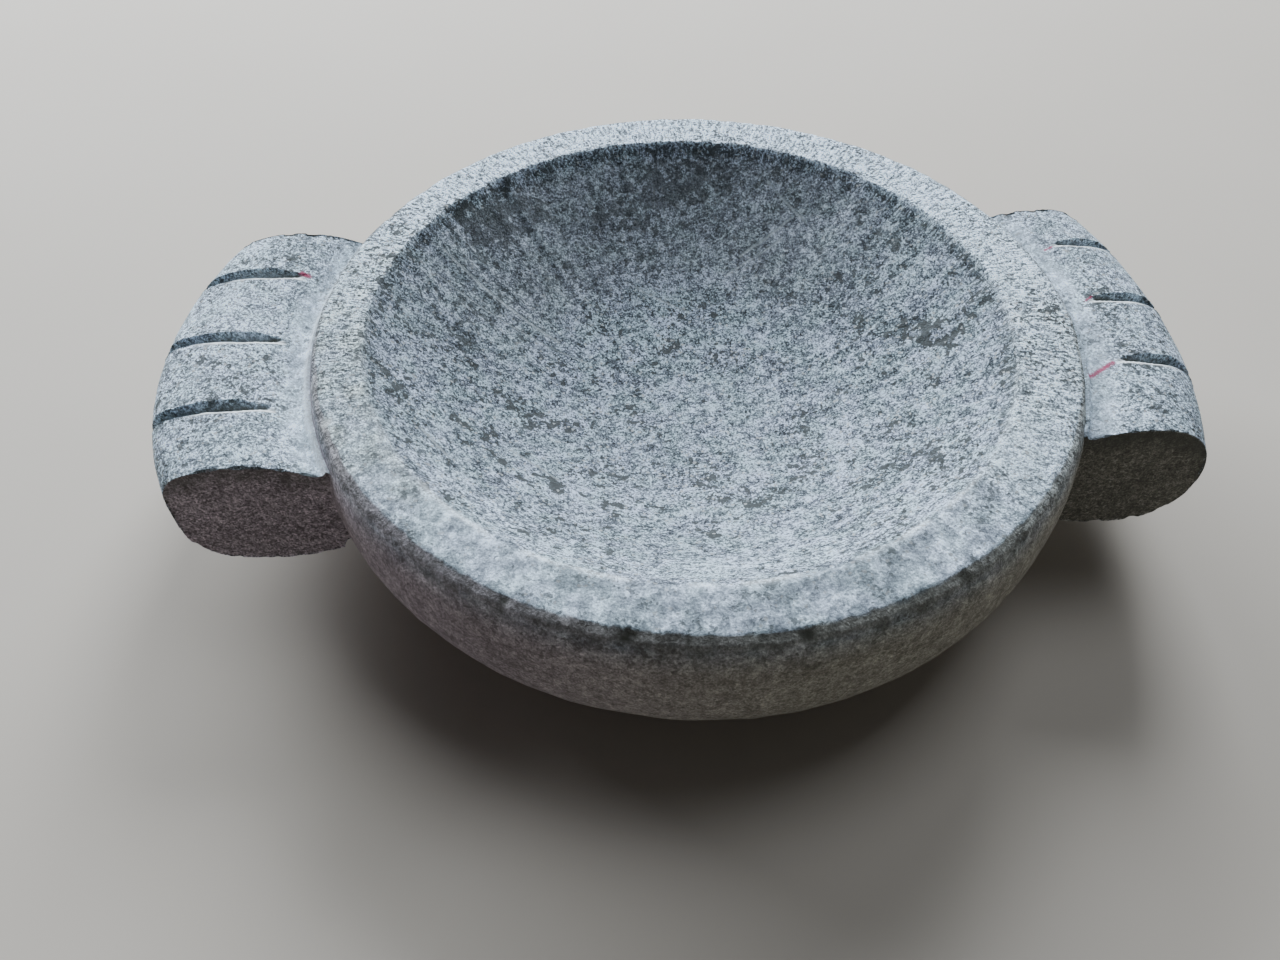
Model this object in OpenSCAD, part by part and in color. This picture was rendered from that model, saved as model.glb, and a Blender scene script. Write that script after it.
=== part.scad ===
// Carved stone bowl with two grooved lug handles.
// Millimetres, +Z up. The origin is the centre of the flat base, on the axis of the bowl;
// X runs from the left handle to the right handle.

/* [Bowl] */
// Height of the bowl, from the base to the rim
bowl_h = 60; // [56:1:70]
// Outside radius of the rim
rim_r = 100; // [97:0.5:102]
// Radius of the dish at the rim
dish_r = 85.6; // [78:0.2:90]
// Distance of the dish's axis from the bowl's axis, towards the left handle
dish_shift = 1.8; // [0:0.2:3]
// Depth of the dish below the rim
dish_depth = 35; // [26:1:40]
// Squareness of the dish curve: 2 is a parabola, more is flatter in the middle
dish_power = 2.4; // [2:0.1:4]
// Rounding of the edge between dish and rim
lip_round = 2.5; // [1:0.5:4]
// Widest radius of the outside wall
belly_r = 103.8; // [103:0.1:106]
// Distance of the widest ring below the rim
belly_drop = 17.8; // [14:0.2:22]
// Squareness of the outside wall: 2 is an ellipse, more is squarer
wall_power = 2.5; // [2:0.1:3]
// Worn chamfer on the outside edge of the rim
rim_chamfer = 2.2; // [1:0.2:4]
// Worn chamfer round the base
base_chamfer = 2; // [1:0.5:4]

/* [Handles] */
// Length of a handle, between its two sawn end faces
handle_l = 92; // [80:1:100]
// Distance of the handle's crown below the rim
crown_drop = 2.5; // [1:0.5:6]
// Distance of the handle's underside below the rim
underside_drop = 38.3; // [34:0.1:42]
// Distance of the crown's ridge from the nose
crown_inset = 20; // [16:1:24]
// Radius of the crown, seen from the end
crown_r = 40; // [35:1:60]
// Radius of the underside, seen from the end
underside_r = 60; // [45:1:90]
// Reach of the left handle from the bowl's axis
left_reach = 143.5; // [138:0.5:146]
// Radius of the left handle's nose, seen from above
left_plan_r = 103; // [90:1:145]
// Rounding of the left nose, above
left_top_round = 9; // [6:1:16]
// Rounding of the left nose, below
left_bottom_round = 13; // [8:1:17]
// Reach of the right handle from the bowl's axis
right_reach = 135; // [130:0.5:142]
// Radius of the right handle's nose, seen from above
right_plan_r = 135; // [90:1:145]
// Rounding of the right nose, above
right_top_round = 17; // [6:1:17]
// Rounding of the right nose, below
right_bottom_round = 17; // [8:1:17]

/* [Finger grooves] */
// Number of grooves in each handle
groove_count = 3; // [1:1:3]
// Width of the saw cut
groove_w = 3; // [2:0.5:4]
// Depth of the cut at the nose
groove_depth = 5; // [3:0.5:7]
// Distance between the grooves of the left handle
left_groove_pitch = 26; // [20:0.5:28]
// Distance between the grooves of the right handle
right_groove_pitch = 24.5; // [20:0.5:28]
// Shift of the left middle groove towards the back
left_groove_shift = 1.5; // [0:0.5:5]
// Shift of the right middle groove towards the back
right_groove_shift = 4.5; // [0:0.5:5]
// Distance from the left nose to a groove's inner end
left_groove_run = 33; // [24:1:34]
// Distance from the right nose to a groove's inner end
right_groove_run = 26; // [22:1:30]
// Distance of the groove's lower end below the rim
groove_drop = 31; // [26:1:33]

/* [Hidden] */
$fn = 96;

stone = [0.56, 0.60, 0.64];
stone_dark = [0.50, 0.54, 0.58];

// Angle between the points of an arc, and the number of rings along a wall
arc_step = 7.5;
wall_rings = 18;

// Wall of the bowl: a squared ellipse about the widest ring, which meets the rim at rim_r
belly_z = bowl_h - belly_drop;
wall_half_h = belly_drop / pow(1 - pow(rim_r / belly_r, wall_power), 1 / wall_power);
wall_lo = base_chamfer;
wall_hi = bowl_h - rim_chamfer;

// Handles, in the plane of a section: x from the nose (0) towards the bowl (negative), z from the base
crown_z = bowl_h - crown_drop;
underside_z = bowl_h - underside_drop;
section_in = -46;
groove_core_r = 60;
groove_core_round = 8;
// How far a cutting solid stands clear of what it cuts
reach_past = 20;

function wall_r(z) =
    belly_r * pow(1 - pow(abs(z - belly_z) / wall_half_h, wall_power), 1 / wall_power);

function dish_z(r) =
    bowl_h - dish_depth * (1 - pow(r / dish_r, dish_power));

// Points of an arc about [x, z], from angle a to angle b
function arc(x, z, r, a, b) =
    let (n = ceil(abs(b - a) / arc_step))
    [for (i = [0:n]) let (t = a + (b - a) * i / n) [x + r * cos(t), z + r * sin(t)]];

// Height above x = here of a circle of radius r whose top stands at [x0, z0]
function dome_z(x0, z0, r, here) =
    z0 - r + sqrt(r * r - pow(here - x0, 2));

// Section of a handle. ridge: x of the highest line, nose: x of the outermost line,
// and the nose is rounded by top_round and bottom_round, tangent to crown and underside.
function handle_section(nose, ridge, top_z, top_r, top_round, bottom_round) =
    let (
        top_cz = top_z - top_r,
        low_cz = underside_z + underside_r,
        top_x = nose - top_round,
        low_x = nose - bottom_round,
        top_z2 = top_cz + sqrt(pow(top_r - top_round, 2) - pow(top_x - ridge, 2)),
        low_z2 = low_cz - sqrt(pow(underside_r - bottom_round, 2) - pow(low_x - ridge, 2)),
        top_a = atan2(top_z2 - top_cz, top_x - ridge),
        low_a = atan2(low_z2 - low_cz, low_x - ridge),
        in_top_a = acos((section_in - ridge) / top_r),
        in_low_a = -acos((section_in - ridge) / underside_r)
    )
    concat(
        arc(ridge, top_cz, top_r, in_top_a, top_a),
        arc(top_x, top_z2, top_round, top_a, 0),
        arc(low_x, low_z2, bottom_round, 0, low_a),
        arc(ridge, low_cz, underside_r, low_a, in_low_a)
    );

// Half section of the whole stone, with no dish: base, wall, worn edge and top
function outside_section() =
    concat(
        [[0, 0], [wall_r(wall_lo) - base_chamfer, 0]],
        [for (i = [0:wall_rings])
            let (z = wall_lo + (wall_hi - wall_lo) * i / wall_rings) [wall_r(z), z]],
        [[rim_r - rim_chamfer, bowl_h], [0, bowl_h]]
    );

// Half section of what is cut away for the dish, open above the rim
function dish_section() =
    concat(
        [[0, bowl_h + reach_past], [dish_r + lip_round, bowl_h + reach_past], [dish_r + lip_round, bowl_h]],
        [for (i = [wall_rings:-1:0])
            let (r = (dish_r - lip_round / 2) * i / wall_rings) [r, dish_z(r)]]
    );

module outside_of_bowl() {
    rotate_extrude()
        polygon(outside_section());
}

// One saw cut: everything outside an inner section that starts level with the crown
module groove(ridge, bottom_round, groove_run) {
    start_x = -groove_run;
    start_z = dome_z(ridge, crown_z, crown_r, start_x);
    rotate([90, 0, 0])
        linear_extrude(height = groove_w, center = true)
            difference() {
                translate([start_x, bowl_h - groove_drop])
                    square([groove_run + reach_past, groove_drop]);
                polygon(handle_section(
                    -groove_depth, start_x, start_z, groove_core_r, groove_core_round, bottom_round));
            }
}

// A handle that points along +X; the lug is turned about a plan axis and sawn off at both ends
module handle(reach, plan_r, top_round, bottom_round, groove_pitch, groove_shift, groove_run) {
    ridge = -crown_inset;
    difference() {
        intersection() {
            translate([reach - plan_r, 0, 0])
                rotate_extrude()
                    translate([plan_r, 0])
                        polygon(handle_section(
                            0, ridge, crown_z, crown_r, top_round, bottom_round));
            translate([rim_r / 2, -handle_l / 2, 0])
                cube([reach, handle_l, bowl_h]);
        }
        outside_of_bowl();
        for (i = [0:groove_count - 1])
            translate([reach, groove_shift + (i - (groove_count - 1) / 2) * groove_pitch, 0])
                groove(ridge, bottom_round, groove_run);
    }
}

module bowl() {
    color(stone)
        difference() {
            outside_of_bowl();
            translate([-dish_shift, 0, 0])
                rotate_extrude()
                    polygon(dish_section());
        }
}

module left_handle() {
    color(stone_dark)
        mirror([1, 0, 0])
            handle(left_reach, left_plan_r, left_top_round, left_bottom_round,
                left_groove_pitch, left_groove_shift, left_groove_run);
}

module right_handle() {
    color(stone_dark)
        handle(right_reach, right_plan_r, right_top_round, right_bottom_round,
            right_groove_pitch, right_groove_shift, right_groove_run);
}

bowl();
left_handle();
right_handle();
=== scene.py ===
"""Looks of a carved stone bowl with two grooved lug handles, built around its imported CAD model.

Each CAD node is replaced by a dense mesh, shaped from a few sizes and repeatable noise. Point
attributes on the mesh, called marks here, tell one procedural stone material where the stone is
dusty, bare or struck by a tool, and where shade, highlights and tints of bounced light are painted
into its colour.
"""

import math
from types import SimpleNamespace

import bpy
import numpy as np
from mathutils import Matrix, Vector


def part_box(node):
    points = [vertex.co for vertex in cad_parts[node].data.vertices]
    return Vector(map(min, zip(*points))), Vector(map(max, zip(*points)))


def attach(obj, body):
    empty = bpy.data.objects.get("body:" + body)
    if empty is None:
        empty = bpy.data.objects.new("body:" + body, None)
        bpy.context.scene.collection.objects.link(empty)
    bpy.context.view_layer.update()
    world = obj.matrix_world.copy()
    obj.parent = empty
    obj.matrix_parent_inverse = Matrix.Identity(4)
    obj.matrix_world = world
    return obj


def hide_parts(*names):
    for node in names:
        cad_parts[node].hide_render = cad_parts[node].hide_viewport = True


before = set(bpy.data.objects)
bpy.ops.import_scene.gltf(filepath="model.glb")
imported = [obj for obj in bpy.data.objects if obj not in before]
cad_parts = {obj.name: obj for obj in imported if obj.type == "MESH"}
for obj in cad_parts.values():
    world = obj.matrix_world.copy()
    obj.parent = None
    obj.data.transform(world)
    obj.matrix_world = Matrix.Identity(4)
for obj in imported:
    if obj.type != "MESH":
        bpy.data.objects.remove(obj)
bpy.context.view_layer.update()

MM = 0.001

# ---------------------------------------------------------------- sizes, in metres, some read from the bowl's CAD part
bowl_lo, bowl_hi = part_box("bowl")
TOP = bowl_hi.z                      # height of the rim
BELLY_R = bowl_hi.y                  # widest radius of the outside wall
RIM_R = BELLY_R - 3.8 * MM           # outside radius of the rim
DISH_R = 0.856 * RIM_R               # radius of the dish at the rim
DISH_SHIFT = 1.8 * MM                # the dish's axis lies this far towards the left handle
DISH_DEPTH = 35.0 * MM
DISH_POWER = 2.4                     # squareness of the dish curve
BELLY_DROP = 17.8 * MM               # widest ring, below the rim
WALL_POWER = 2.5                     # squareness of the outside wall
CHAMFER = 1.7 * MM                   # worn outside edge of the rim
BASE_CHAMFER = 2.0 * MM
BASE_GAP = 0.05 * MM                 # height of the underside above the floor

CROWN_DROP = 2.5 * MM                # crown of the handles, below the rim
UNDERSIDE_DROP = 38.3 * MM           # underside of the handles, below the rim
CROWN_INSET = 20.0 * MM              # ridge of the crown, in from the nose
CROWN_R = 40.0 * MM
UNDERSIDE_R = 60.0 * MM
SECTION_IN = -46.0 * MM              # inner end of a handle's section, inside the bowl
GROOVE_W = 3.0 * MM
GROOVE_DEPTH = 4.6 * MM
GROOVE_PLUNGE = 15.0 * MM            # run over which a saw cut reaches its full depth
SKIN = 0.35 * MM                     # how far a plain surface stays inside its CAD surface

# side: -1 left, 1 right. plan_r: radius of the nose seen from above. top_round, bottom_round: rounding
# of the nose. fillet: radius where the crown meets the bowl. grooves: from front to back, the place
# along Y and the reach of the inner end, in mm.
HANDLES = {
    "left_handle": SimpleNamespace(
        side=-1, plan_r=103 * MM, top_round=9 * MM, bottom_round=13 * MM, fillet=3.2 * MM,
        grooves=((-24.5, 108.0), (1.5, 110.0), (27.7, 108.5))),
    "right_handle": SimpleNamespace(
        side=1, plan_r=135 * MM, top_round=17 * MM, bottom_round=17 * MM, fillet=2.0 * MM,
        grooves=((-20.0, 108.5), (4.7, 109.5), (29.0, 107.0))),
}

# Chips in the front edge of the rim: angle in degrees, half width and depth in mm
CHIPS = (
    (-119, 1.6, 0.5),
    (-103, 2.6, 0.9),
    (-96, 1.2, 0.4),
    (-82, 2.8, 0.8),
    (-60, 1.8, 0.7),
    (-38, 1.5, 0.5),
)

# Lines in the stone, as (x, y) ends and a width in mm
SCRATCHES = (
    ((20, 54), (37, 61), 1.0),
    ((15, 49), (33, 56), 0.7),
    ((-70, 41), (-38, 24), 1.2),
    ((-72, 33), (-30, 18), 0.6),
    ((-14, 47), (3, 38), 0.7),
    ((30, 72), (41, 58), 0.7),
    ((-38, -33), (-50, -24), 0.8),
    ((-72, -27), (-65, -35), 0.9),
)
VEINS = (
    ((-64, -18), (-52, -31), 8.0),
    ((-45, -33), (-25, -43), 9.0),
    ((-51, -2), (-42, -10), 8.0),
    ((-62, 50), (-44, 66), 16.0),
    ((-22, 68), (10, 76), 16.0),
    ((64, 14), (71, 0), 9.0),
)
CRAYONS = (
    ((99.5, -24.5), (106.5, -20.8), 1.6),
    ((104.0, 26.8), (106.3, 27.8), 0.9),
    ((107.9, 3.9), (109.9, 5.1), 0.9),
    ((-109.0, 28.6), (-107.2, 28.0), 2.0),
)
CREASE = ((57, -49), (68, -44))      # ends of a crease in the dish wall, in mm
PALE_CHIP = (-93.0, -33.5)           # middle of a pale chip in the rim, in mm


# ---------------------------------------------------------------- noise
def hashed(ix, iy, iz, seed):
    """A repeatable random number from 0 to 1 for each lattice point."""
    h = (ix * 374761393 + iy * 668265263 + iz * 2147483647 + seed * 974634777) & 0xFFFFFFFF
    h = ((h ^ (h >> 13)) * 1274126177) & 0xFFFFFFFF
    h = ((h ^ (h >> 16)) * 2246822519) & 0xFFFFFFFF
    return (h ^ (h >> 15)) / 4294967295.0


def noise(p, cell, seed=0):
    """Smooth noise from -1 to 1 at points p, an (n, 3) array; cell is its grain."""
    q = p / cell
    base = np.floor(q).astype(np.int64)
    t = q - base
    t = t * t * t * (t * (6 * t - 15) + 10)
    total = np.zeros(len(p))
    for dx in (0, 1):
        wx = t[:, 0] if dx else 1 - t[:, 0]
        for dy in (0, 1):
            wy = t[:, 1] if dy else 1 - t[:, 1]
            for dz in (0, 1):
                wz = t[:, 2] if dz else 1 - t[:, 2]
                corner = hashed(base[:, 0] + dx, base[:, 1] + dy, base[:, 2] + dz, seed)
                total += wx * wy * wz * corner
    return 2 * total - 1


def rough(p, cell, octaves, seed=0, gain=0.55):
    """Noise with finer and finer grain added."""
    return sum(gain ** k * noise(p, cell / 2 ** k, seed + k) for k in range(octaves))


def smooth(a, b, x):
    """0 at a, 1 at b, smooth between them and level beyond them."""
    t = np.clip((x - a) / (b - a), 0, 1)
    return t * t * (3 - 2 * t)


def soft_min(a, b, k):
    """The lower of a and b, rounded over a height of k where they cross."""
    h = np.clip(0.5 + 0.5 * (b - a) / k, 0, 1)
    return b * (1 - h) + a * h - k * h * (1 - h)


# ---------------------------------------------------------------- mesh helpers
def vertex_normals(points, faces):
    """Unit normals of a mesh of triangles and quads, as an (n, 3) array."""
    normals = np.zeros_like(points)
    for size in (3, 4):
        group = np.array([f for f in faces if len(f) == size], dtype=np.int64).reshape(-1, size)
        if len(group) == 0:
            continue
        corners = points[group]
        across = corners[:, 2] - corners[:, 0]
        other = corners[:, size - 1] - corners[:, 1] if size == 4 else corners[:, 1] - corners[:, 0]
        n = np.cross(across, other) * (1 if size == 4 else -1)
        for k in range(size):
            np.add.at(normals, group[:, k], n)
    length = np.linalg.norm(normals, axis=1, keepdims=True)
    return normals / np.maximum(length, 1e-12)


def facing_outwards(points, faces, middle):
    """The faces, turned over if need be so that their normals point away from the middle, and the normals."""
    normal = vertex_normals(points, faces)
    if ((points - middle) * normal).sum() < 0:
        return [f[::-1] for f in faces], -normal
    return faces, normal


def run_along(line):
    """Distance of each point of a line from its first point."""
    return np.concatenate([[0], np.cumsum(np.linalg.norm(np.diff(line, axis=0), axis=1))])


def make_piece(name, points, faces, marks, sharp_angle):
    """A mesh object with one point attribute for each entry of marks."""
    mesh = bpy.data.meshes.new(name)
    mesh.from_pydata(points.tolist(), [], faces)
    mesh.update()
    mesh.polygons.foreach_set("use_smooth", [True] * len(mesh.polygons))
    mesh.set_sharp_from_angle(angle=sharp_angle)
    for key, values in marks.items():
        layer = mesh.attributes.new(key, "FLOAT", "POINT")
        layer.data.foreach_set("value", np.asarray(values, np.float32))
    piece = bpy.data.objects.new(name, mesh)
    bpy.context.scene.collection.objects.link(piece)
    return piece


# ---------------------------------------------------------------- bowl: shape
WALL_HALF = BELLY_DROP / (1 - (RIM_R / BELLY_R) ** WALL_POWER) ** (1 / WALL_POWER)
AROUND = 600                         # points round a full ring


def wall_r(z):
    """Radius of the outside wall at height z."""
    off = np.abs(z - (TOP - BELLY_DROP)) / WALL_HALF
    return BELLY_R * (1 - np.minimum(off, 0.999) ** WALL_POWER) ** (1 / WALL_POWER)


def facing(angle, degrees, reach):
    """1 where angle points to the given direction, falling to 0 at reach degrees away from it."""
    away = np.abs((np.degrees(angle) - degrees + 180) % 360 - 180)
    return smooth(reach, 0.35 * reach, away)


def soft_side(angle):
    """1 where the edge between rim and dish is worn round, at the front, and 0 where it is crisp."""
    return facing(angle, -100, 90)


def circle(angle, r):
    """Points at height 0 on a circle."""
    return np.stack([r * np.cos(angle), r * np.sin(angle), np.zeros_like(angle)], 1)


def ring(r, z, count):
    """A ring of points; r and z may differ from point to point."""
    a = np.arange(count) * 2 * math.pi / count
    return np.stack([r * np.cos(a), r * np.sin(a), np.broadcast_to(z, (count,))], 1)


def ring_count(r):
    """Points in a ring of radius r: fewer near the middle, where they would crowd."""
    return AROUND // (1 if r > 45 * MM else 2 if r > 22 * MM else 4 if r > 11 * MM else 8)


def spread(a, b, step):
    """Evenly spread values from a towards b, without b."""
    return np.linspace(a, b, max(1, round(abs(b - a) / step)), endpoint=False)


def top_height(x, y):
    """Height of the dish and the flat rim, with a crisp ragged edge where they meet, worn at the front."""
    angle = np.arctan2(y, x)
    soft = soft_side(angle)
    at = circle(angle, DISH_R)
    teeth = 0.30 * noise(at, 9 * MM, 3) + (1 - 0.8 * soft) * 0.50 * noise(at, 2.0 * MM, 4)
    r = np.hypot(x + DISH_SHIFT, y) + teeth * MM
    dish = TOP - DISH_DEPTH * (1 - (r / DISH_R) ** DISH_POWER)
    dish -= (1 - soft) * 0.7 * MM * smooth(DISH_R, DISH_R - 0.8 * MM, r)
    lip = (0.4 + 1.6 * soft) * MM
    return soft_min(np.full_like(r, TOP), dish, lip) - SKIN


def top_ring(r, count):
    """A ring of points that lies on the dish or the rim."""
    points = ring(r, 0, count)
    points[:, 2] = top_height(points[:, 0], points[:, 1])
    return points


def top_rings():
    """Rings from the middle of the dish, over the rim and down its worn outside edge."""
    angle = np.arange(AROUND) * 2 * math.pi / AROUND
    at = circle(angle, RIM_R)
    cut = CHAMFER * (0.5 + 0.5 * soft_side(angle))
    nicks = 0.45 * np.abs(noise(at, 6 * MM, 11)) + 0.75 * np.maximum(0, noise(at, 2.1 * MM, 12))
    ragged = MM * nicks
    near_lip = DISH_R - 8 * MM
    rim_in = DISH_R + 4 * MM
    rim_out = RIM_R - cut - ragged
    edge_r = wall_r(TOP - cut) - SKIN - 0.5 * ragged
    radii = [*spread(1.5 * MM, near_lip, 1.3 * MM), *spread(near_lip, rim_in, 0.55 * MM)]
    rings = [top_ring(r, ring_count(r)) for r in radii]
    for t in spread(0, 1, 0.11):
        rings.append(top_ring(rim_in + t * (rim_out - rim_in), AROUND))
    for t in spread(0, 1, 0.2):
        rings.append(ring(rim_out + t * (edge_r - rim_out), TOP - SKIN - t * (cut - SKIN), AROUND))
    rings.append(ring(edge_r + 0.2 * MM, TOP - cut - 0.2 * MM, AROUND))
    return rings


def lower_rings():
    """Rings down the outside wall and in to the middle of the base."""
    zs = np.linspace(TOP - CHAMFER - 0.4 * MM, BASE_CHAMFER, 400)
    rs = wall_r(zs)
    run = run_along(np.stack([rs, zs], 1))
    rings = []
    for s in np.linspace(0, run[-1], round(run[-1] / (1.5 * MM)))[1:]:
        rings.append(ring(np.interp(s, run, rs) - SKIN, np.interp(s, run, zs), AROUND))
    for r in spread(rs[-1] - BASE_CHAMFER, 2 * MM, 3.2 * MM):
        rings.append(ring(r, BASE_GAP, ring_count(r)))
    return rings


def band_faces(a, n, b, m):
    """Faces between a ring of n points that starts at a and one of m points that starts at b."""
    if n == m:
        return [(a + i, b + i, b + (i + 1) % n, a + (i + 1) % n) for i in range(n)]
    faces = []
    for i in range(min(n, m)):
        j, i2 = 2 * i, (i + 1) % min(n, m)
        if n < m:
            faces += [
                (a + i, b + j, b + j + 1),
                (a + i, b + j + 1, a + i2),
                (a + i2, b + j + 1, b + (j + 2) % m)]
        else:
            faces += [
                (b + i, a + j + 1, a + j),
                (b + i, b + i2, a + j + 1),
                (b + i2, a + (j + 2) % n, a + j + 1)]
    return faces


def join_rings(rings):
    """A closed surface through rings whose counts are equal or differ by a factor of two."""
    starts = np.cumsum([0] + [len(r) for r in rings])
    points = [np.concatenate(rings)]
    faces = []
    for k in range(len(rings) - 1):
        faces += band_faces(starts[k], len(rings[k]), starts[k + 1], len(rings[k + 1]))
    for k, turn in ((0, 1), (len(rings) - 1, -1)):
        middle = len(points[0]) + len(points) - 1
        points.append(rings[k].mean(0, keepdims=True))
        a, n = starts[k], len(rings[k])
        faces += [(middle, a + i, a + (i + 1) % n)[::turn] for i in range(n)]
    return np.concatenate(points), faces


# ---------------------------------------------------------------- bowl: carving and marks
def crease(p):
    """1 in the crease of the dish wall."""
    start = np.array(CREASE[0]) * MM
    way = np.subtract(CREASE[1], CREASE[0]) * MM
    t = np.clip((p[:, :2] - start) @ way / (way @ way), 0, 1)
    gap = np.linalg.norm(p[:, :2] - start - t[:, None] * way, axis=1)
    return smooth(1.3 * MM, 0.2 * MM, gap)


def chip_depths(p, angle):
    """Depth in mm of the chips in the front edge."""
    depth = np.zeros(len(p))
    for degrees, half_width, chip_depth in CHIPS:
        off = (np.degrees(angle) - degrees) * math.pi / 180 * RIM_R / MM + 0.5 * noise(p, 1.5 * MM, 53)
        depth = np.maximum(depth, chip_depth * smooth(half_width, 0.3 * half_width, np.abs(off)))
    return depth


def pale_chip(p):
    """1 in the pale chip on the left of the rim."""
    dx, dy = p[:, 0] - PALE_CHIP[0] * MM, p[:, 1] - PALE_CHIP[1] * MM
    gap = np.hypot(dx / 1.3, dy) + 0.4 * MM * noise(p, 1.4 * MM, 44)
    return smooth(1.6 * MM, 0.7 * MM, gap)


def bowl_zones(p, normal):
    """Where each point of the bowl lies: radii, angle, and weights from 0 to 1."""
    r = np.hypot(p[:, 0], p[:, 1])
    dish_r = np.hypot(p[:, 0] + DISH_SHIFT, p[:, 1])
    angle = np.arctan2(p[:, 1], p[:, 0])
    soft = soft_side(angle)
    upper = smooth(0.1, 0.7, normal[:, 2])
    in_dish = upper * smooth(DISH_R - 1 * MM, DISH_R - 5 * MM, dish_r)
    on_rim = upper * smooth(DISH_R - 2 * MM, DISH_R + 1 * MM, dish_r)
    return SimpleNamespace(
        r=r, dish_r=dish_r, angle=angle, soft=soft, upper=upper, in_dish=in_dish, on_rim=on_rim,
        wall=1 - upper,
        # rings left by the tool just inside the front lip
        band=smooth(66 * MM, 76 * MM, dish_r) * in_dish * soft,
        edge=smooth(-2.6 * MM, -0.8 * MM, r - RIM_R) * smooth(TOP - 5 * MM, TOP - 1.5 * MM, p[:, 2]),
        chipped=chip_depths(p, angle),
        pale_chip=on_rim * pale_chip(p))


def bowl_depth(p, zone):
    """How far the carved surface lies below its plain shape."""
    depth = MM * 0.26 * (1 + noise(p, 26 * MM, 1))
    depth += MM * (0.10 * rough(p, 7 * MM, 2, 5) + 0.07 * rough(p, 2.4 * MM, 2, 9))
    # facets left by the grinder: shallow in the dish, longer and flatter on the wall
    depth += zone.in_dish * 0.12 * MM * np.abs(noise(p, 9 * MM, 21))
    depth += zone.wall * 0.22 * MM * np.abs(noise(p * [1, 1, 0.45], 11 * MM, 23))
    depth += zone.band * 0.09 * MM * (1 + np.sin(zone.dish_r / (0.42 * MM) + 2.5 * noise(p, 24 * MM, 31)))
    depth += zone.upper * 0.55 * MM * crease(p)
    depth += zone.edge * MM * (0.15 * np.abs(rough(p, 4 * MM, 3, 41)) + zone.chipped)
    return depth + 0.35 * MM * zone.pale_chip


def broken_edge(p, zone):
    """The dark strip just under the outside edge of the rim: partly broken stone, partly painted shade under
    the edge, strongest at the front, which faces away from the lights.
    """
    drop = TOP - p[:, 2]
    strip = smooth(4.8 * MM, 2.2 * MM, drop + 1.4 * MM * rough(p, 5 * MM, 2, 43))
    strip *= smooth(RIM_R - 2.4 * MM, RIM_R - 1.2 * MM, zone.r + 0.5 * MM * noise(p, 1.8 * MM, 45))
    return strip * smooth(0.3 * MM, 0.7 * MM, drop) * (0.55 + 0.45 * zone.soft)


def bowl_marks(p, zone):
    """What the stone material reads at each point of the bowl."""
    # painted shade, with broken stone, under the rim's outside edge
    under_edge = broken_edge(p, zone)
    off_lip = (zone.dish_r - DISH_R + 0.3 * MM) / (0.8 * MM)
    lip_line = zone.upper * zone.soft * np.exp(-off_lip ** 2) * smooth(-0.5, 0.3, noise(p, 6 * MM, 59))
    # painted shade in the hollows of the chips in the front edge
    chip_shade = zone.edge * zone.chipped * (1 + noise(p, 1.3 * MM, 49))
    # painted shade: the far side of the dish, which lies in shade, gets quieter grain and a barer, greyer
    # colour
    shaded = zone.in_dish * (facing(zone.angle, 100, 90) * smooth(35 * MM, 60 * MM, zone.dish_r))
    # painted shade just inside the dish's crisp lip, on all but the soft front; the material breaks it into
    # dark strokes
    lip_shade_band = smooth(DISH_R + 0.5 * MM, DISH_R - 1 * MM, zone.dish_r)
    lip_shade_band = lip_shade_band * smooth(DISH_R - 5.5 * MM, DISH_R - 1.5 * MM, zone.dish_r)
    rim_dust = 0.35 + 0.65 * facing(zone.angle, 90, 110) + 0.30 * facing(zone.angle, 0, 60)
    warm = np.maximum(facing(zone.angle, 183, 50), 0.8 * facing(zone.angle, -8, 45))
    return {
        "dust": np.clip(zone.on_rim * rim_dust + 0.3 * zone.band + 0.5 * lip_line, 0, 1),
        "chalk": np.clip(0.35 * lip_line + zone.pale_chip, 0, 1),
        "shade": np.clip(0.48 * under_edge + 0.55 * chip_shade, 0, 1),
        "quiet": np.clip(0.92 * zone.wall + 0.88 * zone.soft * zone.on_rim + 0.45 * shaded, 0, 1),
        "hatch": zone.on_rim * (1 - 0.8 * zone.soft),
        "rings": zone.in_dish * smooth(48 * MM, 66 * MM, zone.dish_r) * facing(zone.angle, -90, 110),
        "scuff": zone.upper * (1 - zone.soft) * lip_shade_band,
        "warm": zone.on_rim * warm,
        "raw": np.maximum(np.maximum(zone.wall, 0.8 * under_edge), 0.5 * shaded),
    }


def make_bowl():
    """The bowl, carved on every side but its flat base."""
    points, faces = join_rings(top_rings() + lower_rings())
    faces, normal = facing_outwards(points, faces, [0, 0, 0])
    zone = bowl_zones(points, normal)
    marks = bowl_marks(points, zone)
    depth = bowl_depth(points, zone) * smooth(0.0, 3 * MM, points[:, 2])
    return make_piece("carved_bowl", points - normal * depth[:, None], faces, marks, math.radians(60))


# ---------------------------------------------------------------- handles: shape
N_LINE = 120                         # spaces along the upper line of a handle's section, and along the lower
N_CAP = 40                           # spaces across an end face
N_LOOP = 2 * N_LINE


def arc(x, z, r, a, b, n=60):
    """Points on an arc about (x, z) from angle a to angle b."""
    t = np.linspace(a, b, n)
    return np.stack([x + r * np.cos(t), z + r * np.sin(t)], 1)


def resample(line, n):
    """n + 1 points spread evenly along a line of points."""
    run = run_along(line)
    s = np.linspace(0, run[-1], n + 1)
    return np.stack([np.interp(s, run, line[:, k]) for k in range(line.shape[1])], 1)


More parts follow.
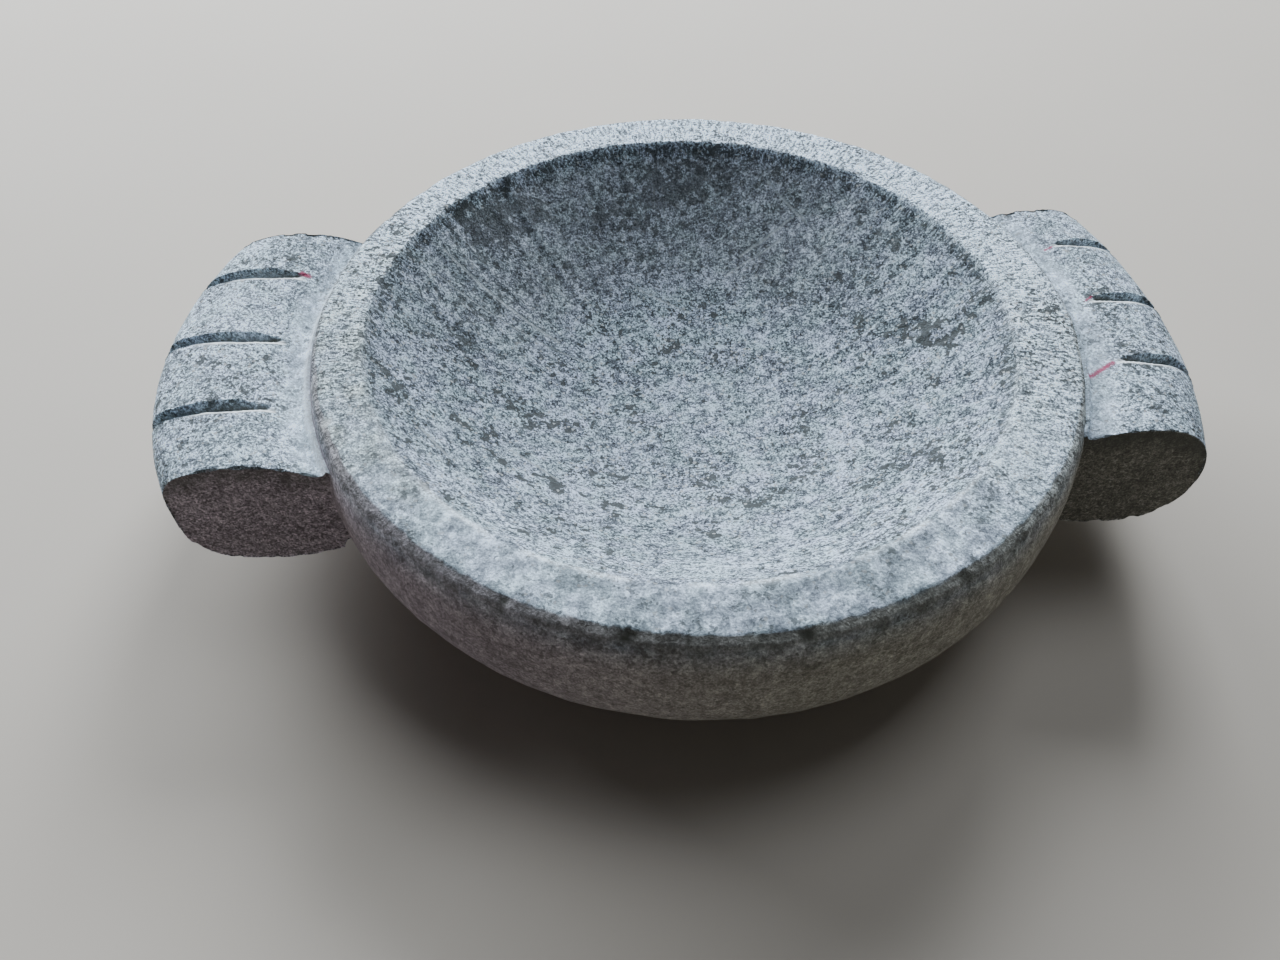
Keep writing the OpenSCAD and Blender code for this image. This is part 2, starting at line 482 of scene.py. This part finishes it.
def handle_loop(top_round, bottom_round):
    """A handle's section from inside the bowl over the crown to the nose at x = 0, and back underneath."""
    ridge = -CROWN_INSET
    top_c = TOP - CROWN_DROP - CROWN_R
    low_c = TOP - UNDERSIDE_DROP + UNDERSIDE_R
    top_x, low_x = -top_round, -bottom_round
    top_z = top_c + math.sqrt((CROWN_R - top_round) ** 2 - (top_x - ridge) ** 2)
    low_z = low_c - math.sqrt((UNDERSIDE_R - bottom_round) ** 2 - (low_x - ridge) ** 2)
    top_a = math.atan2(top_z - top_c, top_x - ridge)
    low_a = math.atan2(low_z - low_c, low_x - ridge)
    nose_z = (top_z + low_z) / 2
    inner = np.array([[SECTION_IN - 6 * MM, nose_z]])
    nose = np.array([[0, nose_z]])
    upper = np.concatenate([
        inner,
        arc(ridge, top_c, CROWN_R, math.acos((SECTION_IN - ridge) / CROWN_R), top_a),
        arc(top_x, top_z, top_round, top_a, 0)[1:],
        nose])
    lower = np.concatenate([
        inner,
        arc(ridge, low_c, UNDERSIDE_R, -math.acos((SECTION_IN - ridge) / UNDERSIDE_R), low_a),
        arc(low_x, low_z, bottom_round, low_a, 0)[1:],
        nose])
    return np.concatenate([resample(upper, N_LINE), resample(lower, N_LINE)[-2:0:-1]])


def inward_way(loop):
    """Unit vectors that point into the section from each point of its loop."""
    ahead = np.roll(loop, -1, 0) - np.roll(loop, 1, 0)
    inward = np.stack([ahead[:, 1], -ahead[:, 0]], 1)
    inward /= np.linalg.norm(inward, axis=1, keepdims=True)
    towards_middle = np.array([-CROWN_INSET, loop[:, 1].mean()]) - loop
    return inward * np.sign((inward * towards_middle).sum(1, keepdims=True))


def handle_stations(half, grooves):
    """Places along the handle, close together at each groove and at the ends."""
    fine, coarse, near_groove = 0.25 * MM, 0.8 * MM, 2.8 * MM
    places = [-half]
    while places[-1] < half:
        y = places[-1]
        near = min(abs(y - middle) for middle, inner in grooves)
        at_end = min(half - y, y + half) < 1.5 * MM
        step = fine if near < near_groove or at_end else min(coarse, max(fine, near - near_groove))
        places.append(y + step)
    places[-1] = half
    return np.array(places)


def saw_cuts(grooves, nose, x_rel, y, along, wobble, ragged):
    """Depth of the saw cuts, the painted shade inside them, and where their front lip is chalky and painted
    with a highlight.

    A cut plunges from its inner end like the edge of a disc, grows shallower over the nose and
    runs out below it. Its back edge is ragged; its front edge has a narrow rubbed bevel.
    """
    cut = np.zeros_like(y)
    dark = np.zeros_like(y)
    chalk = np.zeros_like(y)
    for k, (middle, inner) in enumerate(grooves):
        run = np.interp(middle, y[:, 0], nose) - inner
        into = np.where(along < 0, x_rel + run, run)
        plunge = np.clip(into / GROOVE_PLUNGE, 0, 1)
        deep = GROOVE_DEPTH * (1 - (1 - plunge) ** 2)
        deep *= (1 - 0.5 * smooth(-16 * MM, 0, along)) * smooth(17 * MM, 6 * MM, along)
        off = y - middle - 0.3 * MM * np.sin(along / (9 * MM) + 2 * k)
        half_w = 0.5 * GROOVE_W * (0.35 + 0.65 * smooth(0, 9 * MM, into)) + 0.12 * MM * wobble
        front = off + half_w
        back = half_w + 0.30 * MM * ragged - off
        inside = smooth(-0.10 * MM, 0.22 * MM, front) * smooth(-0.12 * MM, 0.30 * MM, back)
        lip_run = smooth(-1.5 * MM, 0.5 * MM, into) * smooth(0.75, 0.45, into / run)
        bevel = smooth(-1.0 * MM, 0.0, front) * (back > 0) * lip_run
        cut += np.maximum(deep * inside, 0.45 * MM * bevel * (1 - inside))
        across = np.clip(front / (2 * half_w), 0, 1)
        # painted shade inside the cut, a little darker towards its back wall
        dark += inside * smooth(0.2 * MM, 0.9 * MM, deep) * (0.94 + 0.06 * smooth(0.45, 0.95, across))
        # chalk on the front lip of each cut: partly stone dust, partly a painted highlight where the bevel
        # faces the lights
        chalk += smooth(-1.35 * MM, -0.95 * MM, front) * smooth(0.60 * MM, 0.2 * MM, front) * lip_run
    return cut, np.clip(dark, 0, 1), np.clip(chalk, 0, 1)


def handle_skin(handle, reach, half):
    """The lug's skin between its end faces, with saw cuts and fillet, as grids of stations by loop points.

    x is positive here on both sides of the bowl. along is 0 at the nose and negative over the crown.
    rubbed and seam are the smooth strip by the bowl and the chalky line where the crown meets it.
    """
    grooves = [(y * MM, inner * MM) for y, inner in handle.grooves]
    ys = handle_stations(half, grooves)
    loop = handle_loop(handle.top_round, handle.bottom_round)
    inward = inward_way(loop)
    shape = (len(ys), N_LOOP)
    run = run_along(loop)
    along = np.broadcast_to(run - run[N_LINE], shape)
    nose = reach - handle.plan_r + np.sqrt(handle.plan_r ** 2 - ys ** 2)
    x_rel = np.broadcast_to(loop[:, 0], shape)
    x = nose[:, None] + x_rel
    y = np.broadcast_to(ys[:, None], shape)
    z = np.broadcast_to(loop[:, 1], shape)

    plain = np.stack([x.ravel() * handle.side, y.ravel(), z.ravel()], 1)
    wobble = noise(plain, 3.0 * MM, 61).reshape(shape)
    ragged = rough(plain, 1.6 * MM, 2, 67).reshape(shape)
    cut, dark, chalk = saw_cuts(grooves, nose, x_rel, y, along, wobble, ragged)
    x = x + inward[:, 0] * cut
    z = z + inward[:, 1] * cut

    gap = np.hypot(x, y) - wall_r(z)
    fillet = handle.fillet
    rise = fillet - np.sqrt(np.maximum(0, fillet ** 2 - np.clip(fillet - gap, 0, fillet) ** 2))
    place = np.arange(N_LOOP)[None, :]
    outside = x_rel > SECTION_IN
    is_top = (place < N_LINE) & outside
    z = z + np.where(is_top, np.clip(0.9 * rise, 0, np.maximum(0, TOP - CHAMFER - z)), 0)
    rubbed = np.where(is_top, smooth(9 * MM, 4 * MM, gap + 1.2 * MM * wobble), 0)
    seam = np.zeros(shape)
    if handle.side < 0:
        seam = np.where(is_top, smooth(1.1 * MM, 0.4 * MM, gap + 0.2 * MM * wobble), 0)
        # a corner is broken off under the front end, next to the bowl
        broken = smooth(4.2 * MM, 3.0 * MM, gap) * smooth(-half + 8 * MM, -half + 3 * MM, y)
        z = z + np.where((place > N_LINE) & outside, 2.6 * MM * broken, 0)
    return SimpleNamespace(x=x, y=y, z=z, along=along, dark=dark, chalk=chalk, rubbed=rubbed, seam=seam)


def skin_faces(n_stations):
    """Quads between the stations of a handle."""
    faces = []
    for s in range(n_stations - 1):
        a, b = s * N_LOOP, (s + 1) * N_LOOP
        faces += [(a + i, a + (i + 1) % N_LOOP, b + (i + 1) % N_LOOP, b + i) for i in range(N_LOOP)]
    return faces


def cap_faces(skin_points, n_stations):
    """Grids of points and faces that close both ends of a handle."""
    points, faces = [], []
    total = len(skin_points)
    for s, turn in ((0, 1), (n_stations - 1, -1)):
        first = s * N_LOOP
        rows = {}
        for i in range(1, N_LINE):
            low, high = first + N_LOOP - i, first + i
            t = np.arange(1, N_CAP)[:, None] / N_CAP
            points.append(skin_points[low] + (skin_points[high] - skin_points[low]) * t)
            rows[i] = [low] + list(range(total, total + N_CAP - 1)) + [high]
            total += N_CAP - 1
        for i in range(1, N_LINE - 1):
            c, d = rows[i], rows[i + 1]
            faces += [(c[j], d[j], d[j + 1], c[j + 1])[::turn] for j in range(N_CAP)]
        near, far = rows[1], rows[N_LINE - 1]
        faces += [(first, near[j], near[j + 1])[::turn] for j in range(N_CAP)]
        faces += [(far[j], first + N_LINE, far[j + 1])[::turn] for j in range(N_CAP)]
    return np.concatenate(points), faces


# ---------------------------------------------------------------- handles: carving and marks
def handle_wear(points, sawn, half):
    """How far the rough stone lies below its plain shape, and how dark its crumbled edges are."""
    at_edge = smooth(half - 1.6 * MM, half, np.abs(points[:, 1])) * (1 - sawn)
    crumbled = np.maximum(0, rough(points, 3.2 * MM, 3, 91))
    depth = MM * (0.20 * (1 + noise(points, 15 * MM, 71)) + 0.06 * rough(points, 3 * MM, 3, 75))
    depth += sawn * MM * 0.30 * np.abs(rough(points, 4.5 * MM, 4, 81))
    depth += at_edge * MM * 0.8 * crumbled
    return np.maximum(depth, 0), at_edge * smooth(0.1, 0.5, crumbled)


def top_of_end(points, sawn, side, skin):
    """1 in the darker band along the top of an end face, with a ragged lower edge."""
    crown_x, crown_z = skin.x[0, 1:N_LINE + 1] * side, skin.z[0, 1:N_LINE + 1]
    order = np.argsort(crown_x)
    below = np.interp(points[:, 0], crown_x[order], crown_z[order]) - points[:, 2]
    return sawn * smooth(8 * MM, 2 * MM, below + 2.4 * MM * rough(points, 5 * MM, 2, 93))


def handle_marks(skin, sawn, edge_shade, end_band, side):
    """What the stone material reads at each point of a handle."""
    def on_skin(values):
        return np.concatenate([values.ravel(), np.zeros(len(sawn) - values.size)])

    # sawn_shade is painted shade on the right lug's end faces, which less light reaches; band_shade darkens
    # the band along the top of each end face
    band_shade, sawn_shade = (0.5, 0.0) if side < 0 else (0.35, 0.52)
    shade = on_skin(skin.dark * (1 - skin.chalk)) + 0.6 * edge_shade
    shade += band_shade * end_band + sawn_shade * sawn
    still = np.maximum(np.maximum(0.7 * skin.rubbed, skin.chalk), 0.9 * skin.dark)
    none = np.zeros(len(sawn))
    return {
        "dust": np.clip(0.5 * (1 - sawn) + on_skin(0.15 * skin.rubbed + 0.35 * skin.seam), 0, 1),
        "chalk": on_skin(np.maximum(skin.chalk * (1 - 0.4 * skin.dark), 0.5 * skin.seam)),
        "shade": np.clip(shade, 0, 1),
        "quiet": np.clip(on_skin(still) + 0.16 + 0.46 * sawn, 0, 1),
        "hatch": none,
        "rings": none,
        "scuff": none,
        "warm": none,
        "raw": np.maximum(sawn, on_skin(0.85 * smooth(-10 * MM, 18 * MM, skin.along))),
    }


def make_handle(node):
    """One lug: its grooved skin, closed by two sawn end faces."""
    handle = HANDLES[node]
    lo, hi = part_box(node)
    reach = max(abs(lo.x), abs(hi.x)) - SKIN
    half = hi.y - SKIN
    skin = handle_skin(handle, reach, half)
    n_stations = len(skin.x)
    points = np.stack([skin.x, skin.y, skin.z], 2).reshape(-1, 3)
    faces = skin_faces(n_stations)
    cap_points, more_faces = cap_faces(points, n_stations)
    sawn = np.concatenate([np.zeros(len(points)), np.ones(len(cap_points))])
    points = np.concatenate([points, cap_points])
    points[:, 0] *= handle.side
    faces, normal = facing_outwards(points, faces + more_faces, points.mean(0))
    depth, edge_shade = handle_wear(points, sawn, half)
    end_band = top_of_end(points, sawn, handle.side, skin)
    marks = handle_marks(skin, sawn, edge_shade, end_band, handle.side)
    return make_piece(f"carved_{node}", points - normal * depth[:, None], faces, marks, math.radians(45))


# ---------------------------------------------------------------- node trees
class Nodes:
    """A short way to write a material's node tree."""

    def __init__(self, name):
        self.material = bpy.data.materials.new(name)
        self.material.use_nodes = True
        self.tree = self.material.node_tree
        self.tree.nodes.clear()

    def add(self, kind, settings=None, **inputs):
        """A node; inputs are sockets to link or values to set, by the name of the input."""
        node = self.tree.nodes.new(kind)
        for key, value in (settings or {}).items():
            setattr(node, key, value)
        for key, value in inputs.items():
            self.put(node, key.replace("_", " "), value)
        return node

    def put(self, node, key, value):
        """Link or set the input that key names or, if it is a number, counts."""
        socket = node.inputs[int(key)] if key.isdigit() else node.inputs[key]
        if isinstance(value, bpy.types.NodeSocket):
            self.tree.links.new(value, socket)
        else:
            socket.default_value = value

    def call(self, kind, operation, *values):
        """A maths or vector maths node."""
        node = self.add(kind, {"operation": operation})
        for k, value in enumerate(values):
            self.put(node, str(k), value)
        return node

    def math(self, operation, a, b=0.0):
        return self.call("ShaderNodeMath", operation, a, b).outputs[0]

    def vector(self, operation, a, b=(0, 0, 0)):
        """A vector maths node that gives a vector."""
        return self.call("ShaderNodeVectorMath", operation, a, b).outputs["Vector"]

    def number(self, operation, a, b=(0, 0, 0)):
        """A vector maths node that gives a number."""
        return self.call("ShaderNodeVectorMath", operation, a, b).outputs["Value"]

    def scaled(self, vector, factor):
        node = self.add("ShaderNodeVectorMath", {"operation": "SCALE"}, Vector=vector, Scale=factor)
        return node.outputs[0]

    def centred(self, value):
        """A value from 0 to 1, moved to lie about 0."""
        return self.math("SUBTRACT", value, 0.5)

    def total(self, *terms):
        """The sum of weight times value over (weight, value) pairs."""
        result = 0.0
        for weight, value in terms:
            result = self.math("ADD", self.math("MULTIPLY", value, weight), result)
        return result

    def mix(self, factor, a, b):
        """A colour that goes from a to b as factor goes from 0 to 1."""
        node = self.add("ShaderNodeMix", {"data_type": "RGBA"})
        self.put(node, "0", factor)
        self.put(node, "6", a)
        self.put(node, "7", b)
        return node.outputs[2]

    def ramp(self, value, from_min, from_max, to_min=0.0, to_max=1.0):
        """to_min at from_min and to_max at from_max, smooth between them and level beyond them."""
        return self.add(
            "ShaderNodeMapRange", {"interpolation_type": "SMOOTHSTEP"},
            Value=value, From_Min=from_min, From_Max=from_max, To_Min=to_min, To_Max=to_max).outputs[0]

    def noise(self, vector, scale, detail=2.0, roughness=0.5):
        node = self.add("ShaderNodeTexNoise", Vector=vector, Scale=scale, Detail=detail, Roughness=roughness)
        return node.outputs["Fac"]

    def cells(self, vector, scale):
        """A random number from 0 to 1 for each cell."""
        colour = self.add("ShaderNodeTexVoronoi", Vector=vector, Scale=scale).outputs["Color"]
        return self.add("ShaderNodeSeparateColor", Color=colour).outputs[0]

    def mark(self, name):
        return self.add("ShaderNodeAttribute", {"attribute_name": name}).outputs["Fac"]

    def line(self, flat, start, end, width, wobble):
        """1 along a line between two (x, y) points, fading out towards its sides."""
        length = math.dist(start, end)
        way = ((end[0] - start[0]) / length, (end[1] - start[1]) / length, 0)
        away = self.vector("SUBTRACT", flat, (*start, 0))
        along = self.math("MAXIMUM", self.number("DOT_PRODUCT", away, way), 0.0)
        along = self.math("MINIMUM", along, length)
        gap = self.number("LENGTH", self.vector("SUBTRACT", away, self.scaled(way, along)))
        return self.ramp(self.math("ADD", gap, wobble), 0.2 * width, 0.6 * width, 1.0, 0.0)

    def lines(self, flat, table, wobble):
        """1 along any line of a table of starts, ends and widths."""
        result = 0.0
        for start, end, width in table:
            result = self.math("MAXIMUM", self.line(flat, start, end, width, wobble), result)
        return result


# ---------------------------------------------------------------- stone
# Colours, in linear light
COOL = (0.262, 0.328, 0.370, 1)
COOLER = (0.296, 0.343, 0.420, 1)
GREENISH = (0.385, 0.43, 0.375, 1)
DUSTY = (0.60, 0.72, 0.84, 1)
# bare stone tinted with painted bounce light: pinkish on the left, olive on the right
BARE_PINK_BOUNCE = (0.355, 0.290, 0.318, 1)
BARE_OLIVE_BOUNCE = (0.325, 0.303, 0.245, 1)
BARE_BACK = (0.275, 0.290, 0.305, 1)
CHARCOAL = (0.066, 0.074, 0.074, 1)
SPARKLE = (0.80, 0.84, 0.86, 1)
SCRATCHED = (0.52, 0.58, 0.62, 1)
SHADED = (0.085, 0.088, 0.074, 1)
CHALK_AND_HIGHLIGHT_WHITE = (0.88, 0.93, 0.95, 1)
WAX = (0.40, 0.055, 0.13, 1)

MARKS = ("dust", "chalk", "shade", "quiet", "hatch", "rings", "scuff", "warm", "raw")
BRIGHTEST = 2.4                      # cap on the tone, so that no crystal glares


def tool_strokes(g, mm, flat):
    """Short strokes: across the rim, along it, and in patches that each have a direction of their own."""
    parts = g.add("ShaderNodeSeparateXYZ", Vector=mm)
    turn = g.math("MULTIPLY", g.math("ARCTAN2", parts.outputs[1], parts.outputs[0]), 85.0)
    polar = g.add("ShaderNodeCombineXYZ", X=turn, Y=g.number("LENGTH", flat)).outputs[0]
    radial = g.noise(g.vector("MULTIPLY", polar, (1.0, 0.22, 0)), 1.2, 3.0, 0.65)
    ringed = g.noise(g.vector("MULTIPLY", polar, (0.13, 1.0, 0)), 1.1, 3.0, 0.65)
    patch = g.math("MULTIPLY", g.cells(g.vector("MULTIPLY", mm, (1, 1, 0.5)), 0.05), math.pi)
    turned = g.add("ShaderNodeVectorRotate", {"rotation_type": "Z_AXIS"}, Vector=mm, Angle=patch).outputs[0]
    strokes = g.noise(g.vector("MULTIPLY", turned, (1.0, 0.3, 0.6)), 1.5, 3.0, 0.65)
    return g.centred(radial), g.centred(ringed), g.centred(strokes)


def stone_inputs(g):
    """Coordinates in mm, the marks, and the noises that several layers of the stone share."""
    mm = g.scaled(g.add("ShaderNodeTexCoord").outputs["Object"], 1000.0)
    flat = g.vector("MULTIPLY", mm, (1, 1, 0))
    parts = g.add("ShaderNodeSeparateXYZ", Vector=mm)
    warp = g.add("ShaderNodeTexNoise", Vector=mm, Scale=0.8).outputs["Color"]
    grain_at = g.vector("ADD", mm, warp)
    marks = {name: g.mark(name) for name in MARKS}
    radial, ringed, strokes = tool_strokes(g, mm, flat)
    return SimpleNamespace(
        mm=mm, flat=flat, grain_at=grain_at, x=parts.outputs[0], y=parts.outputs[1], **marks,
        on_top=g.ramp(parts.outputs[2], 24.0, 27.0),
        loud=g.math("SUBTRACT", 1.0, g.math("MULTIPLY", marks["quiet"], 0.8)),
        radial=radial, strokes=strokes,
        hatched=g.math("MULTIPLY", radial, marks["hatch"]),
        ringed=g.math("MULTIPLY", ringed, marks["rings"]),
        fine=g.centred(g.noise(mm, 1.9, 2.0, 0.75)),
        grain=g.centred(g.cells(grain_at, 1.6)),
        coarse=g.centred(g.noise(grain_at, 0.36, 3.0, 0.6)))


def stone_tone(g, s):
    """How bright the stone is: salt and pepper of fine crystals, crossed by strokes, over broad clouds."""
    sharp = g.total((8.0, s.fine), (1.9, s.grain), (2.6, s.strokes), (8.0, s.hatched), (4.0, s.ringed))
    cloudy = g.centred(g.noise(s.mm, 0.045, 3.0, 0.6))
    even = g.math("MULTIPLY", g.math("MAXIMUM", s.dust, s.raw), 3.2)
    broad = g.math("MULTIPLY", g.total((1.0, s.coarse), (0.35, cloudy)), g.math("SUBTRACT", 4.6, even))
    tone = g.total((1.0, g.math("MULTIPLY", sharp, s.loud)), (1.0, broad), (0.26, s.dust), (-0.08, 1.0))
    return g.math("MINIMUM", g.math("EXPONENT", tone), BRIGHTEST)


def bare_colour(g, s):
    """Bare stone, with painted warm bounce light in its tint: purplish on the left, olive on the right, and
    grey at the back.
    """
    bare = g.mix(g.ramp(s.x, -75.0, 25.0), BARE_PINK_BOUNCE, BARE_OLIVE_BOUNCE)
    return g.mix(g.ramp(s.y, -20.0, 20.0), bare, BARE_BACK)


def ground_colour(g, s, bare):
    """Cool grey, greenish in patches of the rim, paler where dusty, and turning to the bare colour, with its
    painted tints, where so marked.
    """
    ground = g.mix(g.ramp(g.noise(s.mm, 0.13, 3.0), 0.35, 0.65), COOL, COOLER)
    patches = g.ramp(g.noise(s.mm, 0.12, 3.0), 0.4, 0.7, 0.2, 0.75)
    ground = g.mix(g.math("MULTIPLY", s.warm, patches), ground, GREENISH)
    ground = g.mix(g.math("MULTIPLY", s.dust, 0.65), ground, DUSTY)
    return g.mix(g.math("MULTIPLY", s.raw, 0.9), ground, bare)


def dark_grains(g, s):
    """Dark grains alone, in clumps and along a few veins; gives the clumps, and all of them with the dark
    strokes of painted shade inside the dish's crisp lip.
    """
    cluster = g.centred(g.noise(s.mm, 0.06, 2.0, 0.6))
    clump = g.centred(g.noise(s.grain_at, 0.3, 2.0, 0.55))
    vein = g.math("MULTIPLY", g.lines(s.flat, VEINS, g.math("MULTIPLY", s.coarse, 12.0)), s.on_top)
    level = g.total(
        (0.38, g.cells(s.grain_at, 0.95)), (3.4, clump), (2.1, cluster), (0.5, vein), (-0.22, s.dust))
    fleck = g.ramp(level, 0.69, 0.76)
    small = g.ramp(g.total((1.0, g.cells(s.mm, 1.5)), (0.9, cluster)), 0.92, 0.95)
    # dark strokes of painted shade inside the dish's crisp lip
    lip_shade_streaks = g.ramp(g.total((1.0, s.radial), (0.6, s.strokes), (0.16, s.scuff)), 0.14, 0.20)
    every = g.math("MAXIMUM", g.math("MAXIMUM", fleck, small), g.math("MULTIPLY", lip_shade_streaks, s.scuff))
    return fleck, every


def stone_material():
    """The one material of bowl and handles."""
    g = Nodes("grey_stone")
    s = stone_inputs(g)
    bare = bare_colour(g, s)
    colour = g.scaled(ground_colour(g, s, bare), stone_tone(g, s))

    fleck, dark = dark_grains(g, s)
    faint = g.math("MAXIMUM", g.math("MULTIPLY", s.quiet, 0.3), g.math("MULTIPLY", s.raw, 0.55))
    dark = g.math("MULTIPLY", dark, g.math("SUBTRACT", 0.93, faint))
    colour = g.mix(dark, colour, g.mix(s.raw, CHARCOAL, g.scaled(bare, 0.3)))
    spark = g.ramp(g.cells(s.mm, 1.5), 0.965, 0.98, 0.0, 0.55)
    spark = g.math("MULTIPLY", spark, g.math("SUBTRACT", 1.0, s.raw))
    colour = g.mix(g.math("MULTIPLY", spark, s.loud), colour, SPARKLE)

    wobble = g.math("MULTIPLY", s.fine, 1.1)
    scratch = g.math("MULTIPLY", g.lines(s.flat, SCRATCHES, wobble), s.on_top)
    colour = g.mix(g.math("MULTIPLY", scratch, 0.6), colour, SCRATCHED)
    colour = g.mix(s.shade, colour, SHADED)
    # chalk, and the painted highlight on the saw cuts' front lips
    colour = g.mix(g.math("MULTIPLY", s.chalk, 0.95), colour, CHALK_AND_HIGHLIGHT_WHITE)
    crayon = g.math("MULTIPLY", g.lines(s.flat, CRAYONS, g.math("MULTIPLY", wobble, 1.5)), s.on_top)
    colour = g.mix(g.math("MULTIPLY", crayon, g.ramp(s.fine, -0.14, -0.02, 0.35, 0.95)), colour, WAX)

    height = g.total(
        (1.3, s.fine), (0.3, s.grain), (1.2, s.coarse), (0.5, s.strokes), (-0.3, fleck),
        (2.0, s.hatched), (1.4, s.ringed), (-1.0, scratch))
    bump = g.add("ShaderNodeBump", Height=g.math("MULTIPLY", height, s.loud), Strength=1.0, Distance=0.0005)
    shader = g.add(
        "ShaderNodeBsdfPrincipled",
        Base_Color=colour, Roughness=g.ramp(spark, 0.0, 0.6, 0.86, 0.5), Normal=bump.outputs[0])
    shader.inputs["Specular IOR Level"].default_value = 0.3
    g.add("ShaderNodeOutputMaterial", Surface=shader.outputs[0])
    return g.material


# ---------------------------------------------------------------- camera, floor and light
CAMERA_PLACE = Vector((-0.2595, -2.0401, 1.7431))   # from the middle of the rim, in radii of the rim
CAMERA_YAW = 0.0549                                 # radians, to the right of +Y
CAMERA_DOWN = 0.868                                 # radians, below level
FLOOR_HALF = 6.0
RIM_CENTRE = Vector((0, 0, TOP))


def add_camera():
    """Looks down into the bowl from the front, a little to the left."""
    camera = bpy.data.objects.new("camera", bpy.data.cameras.new("camera"))
    bpy.context.scene.collection.objects.link(camera)
    camera.data.sensor_fit = "HORIZONTAL"
    camera.data.sensor_width = 36.0
    camera.data.lens = 28.125
    camera.data.clip_start = 0.01
    camera.location = RIM_CENTRE + CAMERA_PLACE * RIM_R
    level = math.cos(CAMERA_DOWN)
    forward = Vector((math.sin(CAMERA_YAW) * level, math.cos(CAMERA_YAW) * level, -math.sin(CAMERA_DOWN)))
    camera.rotation_mode = "QUATERNION"
    camera.rotation_quaternion = forward.to_track_quat("-Z", "Y")
    bpy.context.scene.camera = camera


def add_floor():
    """A plain pale floor under the bowl."""
    mesh = bpy.data.meshes.new("floor")
    corners = [(x * FLOOR_HALF, y * FLOOR_HALF, 0) for x, y in ((-1, -1), (1, -1), (1, 1), (-1, 1))]
    mesh.from_pydata(corners, [], [(0, 1, 2, 3)])
    floor = bpy.data.objects.new("floor", mesh)
    bpy.context.scene.collection.objects.link(floor)
    g = Nodes("pale_floor")
    mottle = g.noise(g.add("ShaderNodeTexCoord").outputs["Object"], 9.0)
    colour = g.mix(mottle, (0.52, 0.47, 0.41, 1), (0.56, 0.51, 0.45, 1))
    shader = g.add("ShaderNodeBsdfPrincipled", Base_Color=colour)
    shader.inputs["Roughness"].default_value = 0.75
    g.add("ShaderNodeOutputMaterial", Surface=shader.outputs[0])
    mesh.materials.append(g.material)


def add_softbox(name, azimuth, elevation, size, irradiance):
    """A daylight area light aimed at the rim.

    azimuth is clockwise from +Y, and irradiance is what the light gives at the rim.
    """
    distance = 1.5
    a, e = math.radians(azimuth), math.radians(elevation)
    way = Vector((math.sin(a) * math.cos(e), math.cos(a) * math.cos(e), math.sin(e)))
    data = bpy.data.lights.new(name, "AREA")
    data.shape = "RECTANGLE"
    data.size, data.size_y = size
    data.energy = irradiance * math.pi * distance ** 2
    data.color = (0.91, 0.98, 1.05)
    light = bpy.data.objects.new(name, data)
    light.location = RIM_CENTRE + way * distance
    light.rotation_mode = "QUATERNION"
    light.rotation_quaternion = (-way).to_track_quat("-Z", "Y")
    bpy.context.scene.collection.objects.link(light)


def add_surround():
    """A dim even surround, brightest just above the horizon."""
    world = bpy.data.worlds.new("surround")
    world.use_nodes = True
    tree = world.node_tree
    way = tree.nodes.new("ShaderNodeTexCoord")
    height = tree.nodes.new("ShaderNodeSeparateXYZ")
    fade = tree.nodes.new("ShaderNodeMapRange")
    for key, value in (("From Min", 0.02), ("From Max", 0.28), ("To Min", 0.32), ("To Max", 0.055)):
        fade.inputs[key].default_value = value
    tree.links.new(way.outputs["Generated"], height.inputs[0])
    tree.links.new(height.outputs[2], fade.inputs["Value"])
    tree.links.new(fade.outputs[0], tree.nodes["Background"].inputs["Strength"])
    tree.nodes["Background"].inputs["Color"].default_value = (0.98, 0.99, 1.0, 1)
    bpy.context.scene.world = world


# ---------------------------------------------------------------- the scene
add_camera()
add_floor()
add_softbox("window", -32, 26, (1.5, 0.6), 5.3)
add_softbox("lamp", 15, 37, (0.6, 0.6), 3.45)
add_softbox("overhead", 50, 70, (0.7, 0.7), 0.8)
add_surround()

stone = stone_material()
pieces = [(make_bowl(), "bowl", "stone")]
pieces += [(make_handle(node), node, "handle_stone") for node in HANDLES]
for piece, node, slot in pieces:
    piece.data.materials.append(stone)
    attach(piece, "root")
    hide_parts(node)
